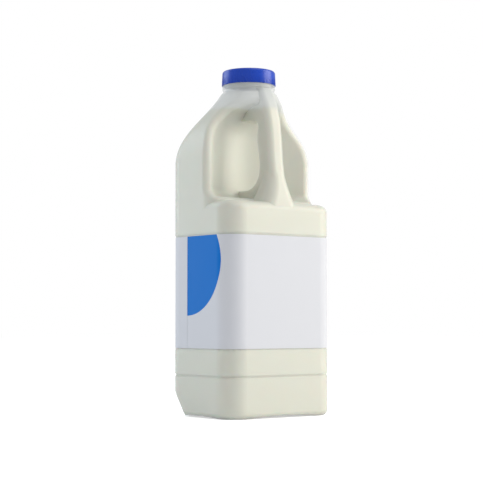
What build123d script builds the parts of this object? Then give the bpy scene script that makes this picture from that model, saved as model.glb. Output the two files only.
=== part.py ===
import os
from build123d import *

os.makedirs("parts", exist_ok=True)

# Plastic milk bottle with a moulded handle: shell, milk, snap cap and wrap-round label.
# Sizes in mm.  X runs across the handle face, -Y is the handle side, Z is up from the table.

# Whole bottle
body_width = 95.0          # across the handle face
body_depth = 73.5          # handle face to back
shoulder_height = 148.5    # top of the lower body in front of the handle gap
back_height = 178.0        # where the back and cheeks start to lean in
neck_height = 227.5        # where the shoulders end
bottle_height = 242.2      # open mouth
neck_offset = 3.0          # neck axis sits this far behind the body's middle
corner_radius = 15.0
wall = 0.9                 # shell thickness

# Shoulders, as rounded sections from the body up to the neck
shoulder_levels = [back_height, 193.0, 209.3, neck_height]
shoulder_widths = [body_width, 89.0, 68.0, 40.0]
shoulder_back = [body_depth / 2 - neck_offset, 32.0, 27.5, 20.0]      # reach behind the neck axis
shoulder_front = [24.0, 24.0, 23.0, 20.0]      # reach in front of the neck axis
shoulder_corners = [corner_radius, 18.0, 22.0, 19.6]

# Hollow behind the handle
valley_radius = 62.0       # hollow is a part of an upright cylinder
valley_reach = 4.0         # deepest point, behind the neck axis
valley_floor = 151.5
valley_roof = 218.0
valley_roof_round = 22.0
valley_floor_round = 7.0
valley_rim_round = 4.0     # soft edge where the hollow meets the outside

# Handle, as a rib with a hole through it; reaches are in front of the neck axis
handle_width = 13.0
handle_edge = 4.2          # rounding of the rib's edges
handle_outer = [
    (20.5, 230.5), (26.0, 220.4), (30.2, 207.2), (32.3, 190.0), (34.6, 170.0), (38.0, 153.0), (39.6, 138.0),
]
handle_inner = [(18.4, 199.0), (19.2, 186.0), (20.6, 173.0)]
hole_top = 208.0
hole_bottom = 158.5
hole_back = -14.0
foot_levels = [180.0, 162.0, 150.0, 140.0]
foot_reaches = [26.6, 28.0, 26.6, 22.6]
foot_depths = [11.0, 17.0, 24.0, 33.6]
foot_widths = [11.0, 17.0, 27.0, 44.0]
foot_corners = [4.8, 6.8, 9.0, 13.0]

# Lower body details
foot_round = 4.0           # bottom edge
shoulder_round = 6.0       # top edge of the lower body
panel_bottom = 46.5        # label panel
panel_top = 126.5
panel_depth = 0.5
crease_height = 27.8
crease_size = 1.8
crease_depth = 0.6
heel_run = 12.0            # back corners lean in below this much of the corner
heel_rise = 22.0
arch_rise = 1.3            # bottom edges arch up between the corner feet
arch_span = 62.0
push_up = 3.0              # middle of the base
push_up_radius = 24.0

# Neck and mouth
neck_radius = 17.2
collar_radius = 18.9
collar_bottom = 230.7
collar_top = 233.9
groove_radius = 18.3
snap_bead = 0.45
snap_bead_height = 237.6

# Milk
milk_level = 215.8

# Cap
cap_radius = 19.3
cap_top = 244.7
cap_bottom = 234.3
cap_skirt = 1.1
cap_deck = 1.2
cap_taper = 0.5
cap_edge = 2.0
cap_ribs = 90
cap_rib_depth = 0.35
cap_rib_width = 0.7
cap_fit = 0.15             # gap between skirt bead and neck bead
plug_depth = 4.0
plug_thickness = 0.8
plug_fit = 0.1             # gap between plug and bore

# Label
label_thickness = 0.15
label_bottom = 47.5
label_top = 125.0
label_fit = 0.02           # air left between label and panel
seam_width = 6.0           # overlap of the two ends
seam_reach = 12.0          # seam lies this far behind the neck axis on the left side

neck_y = neck_offset


def frame_y(reach):
    return neck_y - reach


def rounded_box(width, depth, radius, low, high, shrink, middle=0.0):
    with BuildPart() as block:
        with BuildSketch(Plane.XY.offset(low)):
            with Locations((0, middle)):
                RectangleRounded(width - 2 * shrink, depth - 2 * shrink, radius - shrink)
        extrude(amount=high - low)
    return block.part


def upper_body(inset):
    with BuildPart() as block:
        for level, width, back, front, corner in zip(
            shoulder_levels, shoulder_widths, shoulder_back, shoulder_front, shoulder_corners
        ):
            with BuildSketch(Plane.XY.offset(level)):
                with Locations((0, neck_y + (back - front) / 2)):
                    RectangleRounded(width - 2 * inset, back + front - 2 * inset, corner - inset)
        loft()
        with BuildSketch(Plane.XY.offset(shoulder_levels[0])):
            back, front = shoulder_back[0], shoulder_front[0]
            with Locations((0, neck_y + (back - front) / 2)):
                RectangleRounded(
                    shoulder_widths[0] - 2 * inset, back + front - 2 * inset, shoulder_corners[0] - inset
                )
        extrude(amount=-(shoulder_levels[0] - shoulder_height + 20))
    return block.part


def valley(inset):
    radius = valley_radius + inset
    with BuildPart() as block:
        with BuildSketch(Plane.XY.offset(valley_floor - inset)):
            with Locations((0, frame_y(valley_radius - valley_reach))):
                Circle(radius)
        extrude(amount=valley_roof - valley_floor + 2 * inset)
        fillet(block.faces().sort_by(Axis.Z)[-1].edges(), valley_roof_round + inset)
        fillet(block.faces().sort_by(Axis.Z)[0].edges(), valley_floor_round + inset)
    return block.part


def hollowed_body(inset):
    with BuildPart() as block:
        add(upper_body(inset))
        add(valley(inset), mode=Mode.SUBTRACT)
        rim = [
            edge for edge in block.edges(Select.LAST)
            if edge.geom_type != GeomType.CIRCLE
            and edge.bounding_box().max.Z > valley_floor + 13
            and edge.bounding_box().min.Y < -5
            and abs(edge.center().Z - back_height) > 1
        ]
        fillet(rim, valley_rim_round - inset / 2)
    return block.part


def handle(inset):
    # the inset form is drawn from shifted points, so every curve stays a plain spline
    side = Plane.YZ
    outer = [(frame_y(reach - inset), level - inset * 0.3) for reach, level in handle_outer]
    inner = [(frame_y(reach + inset), level) for reach, level in handle_inner]
    back = frame_y(-6)
    top = hole_top + inset
    bottom = hole_bottom - inset
    hole_start = frame_y(10.0)
    hole_end = frame_y(7.0)
    with BuildPart() as block:
        with BuildSketch(side):
            with BuildLine():
                Spline(outer)
                Polyline(outer[-1], (back, outer[-1][1]), (back, outer[0][1]), outer[0])
            make_face()
        extrude(amount=handle_width / 2 - inset, both=True)
        outside = block.edges().filter_by(GeomType.BSPLINE)
        fillet(outside, handle_edge - inset)
        with BuildSketch(side):
            with BuildLine():
                Polyline(
                    (hole_start, top), (frame_y(hole_back), top),
                    (frame_y(hole_back), bottom), (hole_end, bottom),
                )
                Spline(
                    (hole_end, bottom), inner[2], inner[1], inner[0], (hole_start, top),
                    tangents=((-1, 0.15), (1, 0.1)),
                )
            make_face()
        extrude(amount=handle_width, both=True, mode=Mode.SUBTRACT)
    return block.part


def handle_foot(inset):
    with BuildPart() as block:
        for level, reach, depth, width, corner in zip(
            foot_levels, foot_reaches, foot_depths, foot_widths, foot_corners
        ):
            with BuildSketch(Plane.XY.offset(level)):
                with Locations((0, frame_y(reach))):
                    RectangleRounded(width - 2 * inset, depth - 2 * inset, corner - inset)
        loft()
    return block.part


def lower_body(inset):
    with BuildPart() as block:
        with BuildSketch(Plane.XY.offset(inset)):
            RectangleRounded(body_width - 2 * inset, body_depth - 2 * inset, corner_radius - inset)
        extrude(amount=shoulder_height - 2 * inset)
        fillet(block.faces().sort_by(Axis.Z)[-1].edges(), shoulder_round - inset)
        fillet(block.faces().sort_by(Axis.Z)[0].edges(), foot_round - inset)
    return block.part


def heel_cut(inset, side):
    # half-space beyond a slanted plane under one back corner
    run = heel_run - inset
    rise = heel_rise - inset
    corner_x = side * (body_width / 2 - inset)
    corner_y = body_depth / 2 - inset
    along = run * 2 ** 0.5 + (corner_radius - inset) * (2 - 2 ** 0.5) / 2 * 2 ** 0.5
    low = Vector(corner_x - side * along, corner_y, inset)
    other = Vector(corner_x, corner_y - along, inset)
    middle = (low + other) / 2
    outward = Vector(side, 1, 0).normalized()
    normal = (outward * rise - Vector(0, 0, 1) * run).normalized()
    plane = Plane(origin=middle, x_dir=Vector(-1, side, 0).normalized(), z_dir=normal)
    with BuildPart() as block:
        with BuildSketch(plane):
            Rectangle(120, 120)
        extrude(amount=40)
    return block.part


def ring_band(outer_cut, low, high, inset):
    # frame-shaped cutter round the lower body
    with BuildPart() as block:
        with BuildSketch(Plane.XY.offset(low)):
            Rectangle(body_width + 20, body_depth + 20)
            RectangleRounded(
                body_width - 2 * (inset + outer_cut), body_depth - 2 * (inset + outer_cut),
                corner_radius - inset - outer_cut, mode=Mode.SUBTRACT,
            )
        extrude(amount=high - low)
    return block.part


def jug_form(inset):
    arch_radius = (arch_span ** 2 / 4 + arch_rise ** 2) / (2 * arch_rise)
    with BuildPart() as form:
        add(hollowed_body(inset))
        add(lower_body(inset))
        add(handle(inset))
        add(handle_foot(inset))
        add(ring_band(panel_depth, panel_bottom, panel_top, inset), mode=Mode.SUBTRACT)
        add(
            ring_band(crease_depth, crease_height, crease_height + crease_size, inset),
            mode=Mode.SUBTRACT,
        )
        add(heel_cut(inset, -1), mode=Mode.SUBTRACT)
        add(heel_cut(inset, 1), mode=Mode.SUBTRACT)
        with BuildSketch(Plane.XZ):
            with Locations((0, arch_rise - arch_radius)):
                Circle(arch_radius + inset)
        extrude(amount=body_depth, both=True, mode=Mode.SUBTRACT)
        with BuildSketch(Plane.YZ):
            with Locations((0, arch_rise - arch_radius * (body_depth / body_width) ** 2)):
                Circle(arch_radius * (body_depth / body_width) ** 2 + inset)
        extrude(amount=body_width, both=True, mode=Mode.SUBTRACT)
        with BuildSketch(Plane.XY):
            Circle(push_up_radius + inset)
        extrude(amount=push_up + inset, taper=35, mode=Mode.SUBTRACT)
    return form.part


outer_form = jug_form(0)
inner_form = jug_form(wall)

# Bottle shell with its neck
with BuildPart() as bottle:
    add(outer_form)
    with BuildSketch(Plane.XZ.offset(-neck_y)):
        with BuildLine():
            Polyline(
                (0, neck_height - 4), (collar_radius, neck_height - 4), (collar_radius + 0.9, neck_height),
                (groove_radius, collar_bottom - 1.4), (groove_radius, collar_bottom),
                (collar_radius, collar_bottom + 0.5), (collar_radius, collar_top),
                (neck_radius, collar_top), (neck_radius, snap_bead_height - 0.9),
                (neck_radius + snap_bead, snap_bead_height), (neck_radius, snap_bead_height + 0.9),
                (neck_radius, bottle_height - 0.4), (neck_radius - 0.4, bottle_height),
                (0, bottle_height), close=True,
            )
        make_face()
    revolve(axis=Axis((0, neck_y, 0), (0, 0, 1)))
    add(inner_form, mode=Mode.SUBTRACT)
    with BuildSketch(Plane.XY.offset(neck_height - 3)):
        with Locations((0, neck_y)):
            Circle(neck_radius - wall)
    extrude(amount=bottle_height, mode=Mode.SUBTRACT)
bottle.part.label = "bottle"

# Milk fills the shell up to its level
with BuildPart() as milk:
    add(inner_form)
    with BuildSketch(Plane.XY.offset(milk_level)):
        Rectangle(200, 200)
    extrude(amount=100, mode=Mode.SUBTRACT)
milk.part.label = "milk"

# Snap cap: ribbed skirt, deck, bead and plug
with BuildPart() as cap:
    with BuildSketch(Plane.XY.offset(cap_bottom)):
        with Locations((0, neck_y)):
            Circle(cap_radius)
    extrude(amount=cap_top - cap_bottom, taper=2.5)
    fillet(cap.faces().sort_by(Axis.Z)[-1].edges(), cap_edge)
    with BuildSketch(Plane.XY.offset(cap_bottom)):
        with Locations((0, neck_y)):
            Circle(cap_radius - cap_skirt)
    extrude(amount=cap_top - cap_deck - cap_bottom, mode=Mode.SUBTRACT)
    with BuildSketch(Plane.XZ.offset(-neck_y)):
        with BuildLine():
            Polyline(
                (cap_radius - cap_skirt + 0.2, snap_bead_height - 2.6),
                (neck_radius + cap_fit, snap_bead_height - 2.0),
                (neck_radius + cap_fit, snap_bead_height - 1.4),
                (cap_radius - cap_skirt + 0.2, snap_bead_height - 0.8), close=True,
            )
        make_face()
    revolve(axis=Axis((0, neck_y, 0), (0, 0, 1)))
    with BuildSketch(Plane.XY.offset(cap_top - cap_deck)):
        with Locations((0, neck_y)):
            Circle(neck_radius - wall - plug_fit)
            Circle(neck_radius - wall - plug_fit - plug_thickness, mode=Mode.SUBTRACT)
    extrude(amount=-plug_depth)
    with BuildSketch(Plane.XY.offset(cap_bottom)):
        with Locations((0, neck_y)):
            with PolarLocations(cap_radius + 0.1, cap_ribs):
                Rectangle(2 * cap_rib_depth, cap_rib_width)
    extrude(amount=cap_top - cap_edge - cap_bottom - 0.6, mode=Mode.SUBTRACT)
cap.part.label = "cap"

# Label wraps the panel; its ends overlap on the left side
with BuildPart() as label:
    clear = panel_depth - label_fit
    with BuildSketch(Plane.XY.offset(label_bottom)):
        RectangleRounded(
            body_width - 2 * (clear - label_thickness), body_depth - 2 * (clear - label_thickness),
            corner_radius - clear + label_thickness,
        )
        RectangleRounded(
            body_width - 2 * clear, body_depth - 2 * clear, corner_radius - clear, mode=Mode.SUBTRACT
        )
    extrude(amount=label_top - label_bottom)
    with BuildSketch(Plane.XY.offset(label_bottom)):
        with Locations((-(body_width / 2 - clear + label_thickness * 1.4), frame_y(-seam_reach))):
            Rectangle(label_thickness * 1.2, seam_width)
    extrude(amount=label_top - label_bottom)
label.part.label = "label"

export_step(bottle.part, "parts/bottle.step")
export_step(milk.part, "parts/milk.step")
export_step(cap.part, "parts/cap.step")
export_step(label.part, "parts/label.step")
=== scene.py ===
import math
import bmesh
import bpy
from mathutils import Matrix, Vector


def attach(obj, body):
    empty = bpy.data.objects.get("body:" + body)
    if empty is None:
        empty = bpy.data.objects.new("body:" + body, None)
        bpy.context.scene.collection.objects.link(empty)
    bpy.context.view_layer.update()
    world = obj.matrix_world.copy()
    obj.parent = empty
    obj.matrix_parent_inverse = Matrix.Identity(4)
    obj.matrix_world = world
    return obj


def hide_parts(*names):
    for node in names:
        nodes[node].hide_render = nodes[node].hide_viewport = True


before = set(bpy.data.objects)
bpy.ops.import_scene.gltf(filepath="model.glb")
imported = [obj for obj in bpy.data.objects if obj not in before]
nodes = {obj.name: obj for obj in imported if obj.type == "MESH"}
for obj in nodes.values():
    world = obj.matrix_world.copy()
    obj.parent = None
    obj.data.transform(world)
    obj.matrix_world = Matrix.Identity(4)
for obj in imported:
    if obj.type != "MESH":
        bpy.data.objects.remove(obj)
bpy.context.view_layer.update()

mm = 0.001
white = (1, 1, 1, 1)


class Sock:
    # wraps one shader socket so that values add up like numbers
    def __init__(self, shader, socket):
        self.shader = shader
        self.socket = socket

    def maths(self, operation, *values):
        return self.shader.add("ShaderNodeMath", {"operation": operation}, dict(enumerate(values)))

    def __add__(self, other):
        return self.maths("ADD", self, other)

    def __sub__(self, other):
        return self.maths("SUBTRACT", self, other)

    def __mul__(self, other):
        return self.maths("MULTIPLY", self, other)

    def __radd__(self, other):
        return self.maths("ADD", other, self)

    def __rsub__(self, other):
        return self.maths("SUBTRACT", other, self)

    def __rmul__(self, other):
        return self.maths("MULTIPLY", other, self)

    def __pow__(self, power):
        return self.maths("POWER", self, power)

    def __lt__(self, other):
        return self.maths("LESS_THAN", self, other)


class Shader:
    def __init__(self, name):
        self.material = bpy.data.materials.new(name)
        self.material.use_nodes = True
        self.tree = self.material.node_tree
        self.tree.nodes.clear()
        self.output = self.tree.nodes.new("ShaderNodeOutputMaterial")

    def add(self, kind, settings=None, inputs=None, out=0):
        node = self.tree.nodes.new(kind)
        for key, value in (settings or {}).items():
            setattr(node, key, value)
        for key, value in (inputs or {}).items():
            if isinstance(value, Sock):
                self.tree.links.new(value.socket, node.inputs[key])
            else:
                node.inputs[key].default_value = value
        return Sock(self, node.outputs[out])

    def coords(self):
        return self.add("ShaderNodeTexCoord", out="Object")

    def axes(self):
        split = self.add("ShaderNodeSeparateXYZ", inputs={"Vector": self.coords()}).socket.node
        return [Sock(self, split.outputs[axis]) for axis in "XYZ"]

    def noise(self, scale, detail=3.0):
        return self.add(
            "ShaderNodeTexNoise", inputs={"Vector": self.coords(), "Scale": scale, "Detail": detail}
        )

    def mixColour(self, factor, first, second):
        return self.add(
            "ShaderNodeMix", {"data_type": "RGBA"}, {"Factor": factor, 6: first, 7: second}, out=2
        )

    def bump(self, height, strength, distance):
        return self.add(
            "ShaderNodeBump", inputs={"Height": height, "Strength": strength, "Distance": distance}
        )

    def show(self, surface):
        self.tree.links.new(surface.socket, self.output.inputs["Surface"])
        return self.material

    def finish(self, inputs):
        return self.show(self.add("ShaderNodeBsdfPrincipled", inputs=inputs))


# milky plastic shell; scales are noise cells per metre
shellLook = {
    "colour": (0.84, 0.87, 0.86, 1), "alpha": 0.42, "ior": 1.5,
    "roughLow": 0.27, "roughRange": 0.14,
    "rippleScale": 38.0, "grainScale": 900.0, "grainShare": 0.06,
    "bumpStrength": 0.25, "bumpDepth": 0.6 * mm,
}


def shellMaterial():
    look = shellLook
    shader = Shader("milkyPlastic")
    ripple = shader.noise(look["rippleScale"], 2.0)
    grain = shader.noise(look["grainScale"], 2.0)
    relief = ripple + grain * look["grainShare"]
    return shader.finish({
        "Base Color": look["colour"],
        "Roughness": ripple * look["roughRange"] + look["roughLow"],
        "Alpha": look["alpha"],
        "IOR": look["ior"],
        "Normal": shader.bump(relief, look["bumpStrength"], look["bumpDepth"]),
    })


# milk, grown until it reaches just into the wall
milkLook = {
    "colour": (0.80, 0.79, 0.66, 1), "push": 0.4 * mm, "mergeWithin": 0.01 * mm, "flatTop": 0.05 * mm,
    "roughLow": 0.25, "roughRange": 0.1, "roughScale": 60.0, "depthWeight": 0.25, "depth": 10 * mm,
}


def milkMaterial():
    look = milkLook
    shader = Shader("milk")
    return shader.finish({
        "Base Color": look["colour"],
        "Roughness": shader.noise(look["roughScale"]) * look["roughRange"] + look["roughLow"],
        "Subsurface Weight": look["depthWeight"],
        "Subsurface Scale": look["depth"],
    })


def milkPiece():
    look = milkLook
    mesh = nodes["milk"].data.copy()
    piece = bpy.data.objects.new("milkFill", mesh)
    bpy.context.scene.collection.objects.link(piece)
    shape = bmesh.new()
    shape.from_mesh(mesh)
    bmesh.ops.remove_doubles(shape, verts=shape.verts, dist=look["mergeWithin"])
    shape.normal_update()
    top = max(vert.co.z for vert in shape.verts)
    for vert in shape.verts:
        move = vert.normal * look["push"]
        if vert.co.z > top - look["flatTop"]:  # the milk's surface keeps its level
            move = Vector((move.x, move.y, 0)).normalized() * look["push"]
        vert.co += move
    shape.to_mesh(mesh)
    shape.free()
    mesh.materials.clear()
    mesh.materials.append(milkMaterial())
    return piece


# snap cap
capLook = {
    "colour": (0.001, 0.055, 0.52, 1), "roughLow": 0.22, "roughRange": 0.12,
    "roughScale": 120.0, "grainScale": 1400.0, "bumpStrength": 0.12, "bumpDepth": 0.1 * mm,
}


def capMaterial():
    look = capLook
    shader = Shader("bluePlastic")
    grain = shader.noise(look["grainScale"])
    return shader.finish({
        "Base Color": look["colour"],
        "Roughness": shader.noise(look["roughScale"]) * look["roughRange"] + look["roughLow"],
        "Normal": shader.bump(grain, look["bumpStrength"], look["bumpDepth"]),
    })


# wrap-round label with a blue half disc on the left side
labelLook = {
    "paper": (0.72, 0.74, 0.80, 1), "blue": (0.0, 0.18, 0.66, 1), "seamY": 12.0 * mm,
    "discHeight": 108.0 * mm, "discRadius": 38.0 * mm, "leftOf": -20.0 * mm,
    "roughLow": 0.36, "roughRange": 0.12, "specular": 0.12,
    "rippleScale": 30.0, "bumpStrength": 0.12, "bumpDepth": 0.5 * mm,
}


def labelMaterial():
    look = labelLook
    shader = Shader("labelFilm")
    x, y, z = shader.axes()
    across = y - look["seamY"]
    up = z - look["discHeight"]
    disc = (across ** 2.0 + up * up) < look["discRadius"] ** 2
    field = disc * (y < look["seamY"]) * (x < look["leftOf"])
    ripple = shader.noise(look["rippleScale"], 2.0)
    return shader.finish({
        "Base Color": shader.mixColour(field, look["paper"], look["blue"]),
        "Roughness": ripple * look["roughRange"] + look["roughLow"],
        "Specular IOR Level": look["specular"],
        "Normal": shader.bump(ripple, look["bumpStrength"], look["bumpDepth"]),
    })


def dress(node, material):
    node.data.materials.clear()
    node.data.materials.append(material)


print("stage: materials")
dress(nodes["bottle"], shellMaterial())
dress(nodes["cap"], capMaterial())
dress(nodes["label"], labelMaterial())

print("stage: milk")
milk = milkPiece()
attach(milk, "root")
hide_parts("milk")

# camera; angles in degrees, azimuth counted from the handle side
view = {
    "azimuth": -38.0, "distance": 0.99, "eye": 0.0670, "pitch": 3.23, "yaw": 0.30,
    "lens": 103.7, "sensor": 36.0, "neckAxis": Vector((0, 3.0 * mm, 0)),
}

# soft lamps; azimuth counted from the camera, positive to its right
lamps = {
    "warmRight": {
        "azimuth": 92, "height": 0.5, "distance": 1.4, "size": (1.0, 1.4), "power": 17,
        "colour": (1.0, 0.95, 0.85),
    },
    "coolLeft": {
        "azimuth": -115, "height": 0.45, "distance": 1.3, "size": (0.8, 1.4), "power": 8,
        "colour": (0.80, 0.91, 1.0),
    },
    "softTop": {
        "azimuth": 40, "height": 1.6, "distance": 0.7, "size": (1.2, 1.2), "power": 5,
        "colour": (1.0, 1.0, 1.0),
    },
}
lampAim = Vector((0, 0, 0.12))

# pale surroundings: the camera sees white, the object is lit at the lower strength
surroundings = {
    "floorSize": 8.0, "floorColour": (0.9, 0.9, 0.9, 1), "floorRoughness": 0.9, "floorGlow": 0.55,
    "ambient": 0.5, "seen": 1.0,
}


def roundAbout(azimuth, distance, height):
    turn = math.radians(azimuth)
    return Vector((math.sin(turn) * distance, -math.cos(turn) * distance, height))


def linked(name, data):
    thing = bpy.data.objects.new(name, data)
    bpy.context.scene.collection.objects.link(thing)
    return thing


def cameraPlace():
    data = bpy.data.cameras.new("camera")
    data.sensor_width = view["sensor"]
    data.lens = view["lens"]
    camera = linked("camera", data)
    camera.location = view["neckAxis"] + roundAbout(view["azimuth"], view["distance"], view["eye"])
    camera.rotation_euler = (
        math.radians(90 + view["pitch"]), 0, math.radians(view["azimuth"] + view["yaw"])
    )
    bpy.context.scene.camera = camera


def softLamp(name, look):
    data = bpy.data.lights.new(name, "AREA")
    data.shape = "RECTANGLE"
    data.size, data.size_y = look["size"]
    data.energy = look["power"]
    data.color = look["colour"]
    lamp = linked(name, data)
    lamp.location = roundAbout(view["azimuth"] + look["azimuth"], look["distance"], look["height"])
    lamp.rotation_euler = (lampAim - lamp.location).to_track_quat("-Z", "Y").to_euler()


def studioFloor():
    look = surroundings
    shader = Shader("studioFloor")
    seen = shader.add("ShaderNodeLightPath", out="Is Camera Ray")
    base = shader.add(
        "ShaderNodeBsdfPrincipled",
        inputs={"Base Color": look["floorColour"], "Roughness": look["floorRoughness"]},
    )
    glow = shader.add(
        "ShaderNodeEmission", inputs={"Color": white, "Strength": seen * look["floorGlow"]}
    )
    shader.show(shader.add("ShaderNodeAddShader", inputs={0: base, 1: glow}))
    bpy.ops.mesh.primitive_plane_add(size=look["floorSize"], location=(0, 0, 0))
    floor = bpy.context.object
    floor.name = "floor"
    floor.data.materials.append(shader.material)
    return floor


def studioWorld():
    world = bpy.data.worlds.new("studio")
    bpy.context.scene.world = world
    world.use_nodes = True
    tree = world.node_tree
    tree.nodes.clear()
    path = tree.nodes.new("ShaderNodeLightPath")
    seen = tree.nodes.new("ShaderNodeMath")
    seen.operation = "MAXIMUM"
    tree.links.new(path.outputs["Is Camera Ray"], seen.inputs[0])
    tree.links.new(path.outputs["Is Transmission Ray"], seen.inputs[1])
    strength = tree.nodes.new("ShaderNodeMapRange")
    strength.inputs["To Min"].default_value = surroundings["ambient"]
    strength.inputs["To Max"].default_value = surroundings["seen"]
    tree.links.new(seen.outputs[0], strength.inputs["Value"])
    back = tree.nodes.new("ShaderNodeBackground")
    back.inputs["Color"].default_value = white
    tree.links.new(strength.outputs["Result"], back.inputs["Strength"])
    out = tree.nodes.new("ShaderNodeOutputWorld")
    tree.links.new(back.outputs[0], out.inputs["Surface"])


print("stage: studio")
cameraPlace()
for lampName, lampLook in lamps.items():
    softLamp(lampName, lampLook)
studioWorld()
studioFloor()
bpy.context.scene.view_settings.view_transform = "Standard"
